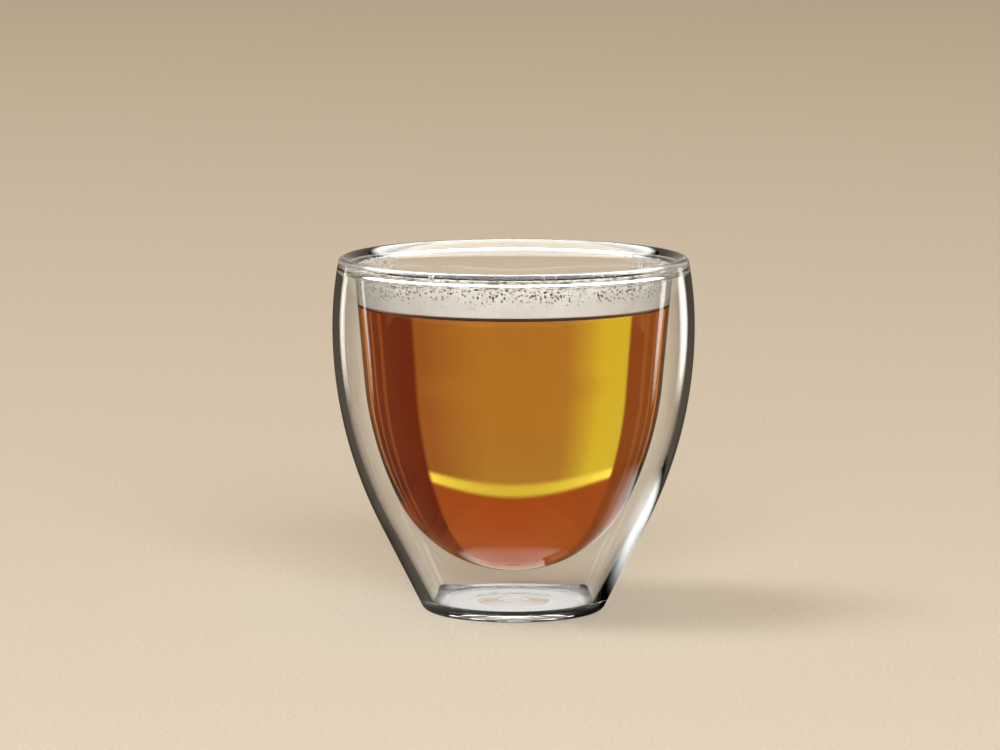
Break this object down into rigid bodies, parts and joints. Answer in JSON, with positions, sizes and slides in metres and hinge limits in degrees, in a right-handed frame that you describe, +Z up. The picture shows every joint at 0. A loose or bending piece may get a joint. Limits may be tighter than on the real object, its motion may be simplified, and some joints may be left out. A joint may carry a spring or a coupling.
{
  "type": "glass cup of tea",
  "caption": "Handleless double-wall glass cup filled with clear amber tea: round-bottomed inner bowl inside a tapered outer shell, joined at a rounded lip, on a small flat foot.",
  "frame": {"origin": "centre of the foot's underside, on the surface the cup stands on", "axes": "+Z up along the cup's axis; the cup is round, so X and Y are free"},
  "size_m": [0.09, 0.09, 0.0885],
  "materials": {
    "glass": "clear borosilicate glass, polished",
    "tea": "clear amber black tea"
  },
  "bodies": {
    "root": {"glass_cup": "glass", "tea": "tea"}
  },
  "joints": []
}
